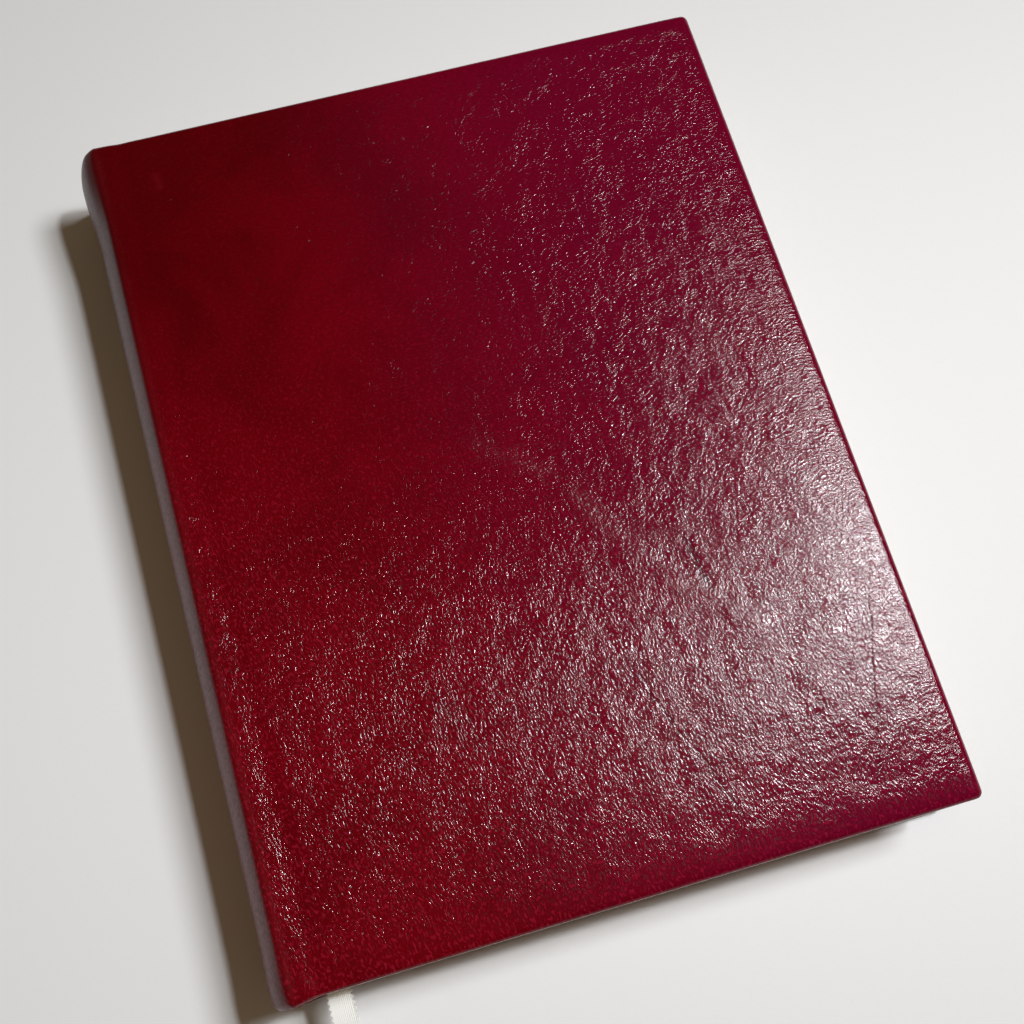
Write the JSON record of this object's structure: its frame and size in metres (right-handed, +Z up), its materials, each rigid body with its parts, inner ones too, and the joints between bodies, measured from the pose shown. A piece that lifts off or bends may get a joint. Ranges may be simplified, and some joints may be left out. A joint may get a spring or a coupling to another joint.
{
  "type": "leather notebook",
  "caption": "Closed hand-bound hardback notebook in plain full leather, with a smooth rounded spine, sewn pages, opening covers and a ribbon marker.",
  "frame": {"origin": "middle of the covers' footprint, on the surface that the back cover lies on", "axes": "+X from the spine to the fore-edge, +Y from the tail to the head, +Z up through the closed book"},
  "size_m": [0.16, 0.2551, 0.0286],
  "materials": {
    "leather": "satin",
    "page_paper": "matte",
    "end_paper": "matte",
    "greyboard": "matte",
    "infill_card": "matte",
    "spine_card": "matte",
    "kraft_paper": "matte",
    "mull_cotton": "matte",
    "linen_tape": "matte",
    "linen_thread": "matte",
    "band_cloth": "satin",
    "ribbon_satin": "satin"
  },
  "bodies": {
    "spine_and_pages": {"text_block": "page_paper", "sewing_thread": "linen_thread", "tape_head": "linen_tape", "tape_middle": "linen_tape", "tape_tail": "linen_tape", "headband": "band_cloth", "tailband": "band_cloth", "mull": "mull_cotton", "spine_lining": "kraft_paper", "spine_card": "spine_card", "spine_leather": "leather", "front_flyleaf": "end_paper", "back_flyleaf": "end_paper", "ribbon_marker": "ribbon_satin"},
    "front_cover": {"front_leather": "leather", "front_board": "greyboard", "front_mull_flap": "mull_cotton", "front_infill": "infill_card", "front_pastedown": "end_paper"},
    "back_cover": {"back_leather": "leather", "back_board": "greyboard", "back_mull_flap": "mull_cotton", "back_infill": "infill_card", "back_pastedown": "end_paper"}
  },
  "joints": [
    {"name": "front_joint", "type": "hinge", "parent": "spine_and_pages", "child": "front_cover", "pos_m": [-0.07319, 0, 0.02635], "axis": [0, -1, 0], "range_deg": [0, 179]},
    {"name": "back_joint", "type": "hinge", "parent": "spine_and_pages", "child": "back_cover", "pos_m": [-0.07319, 0, 0.00225], "axis": [0, 1, 0], "range_deg": [0, 179]}
  ]
}
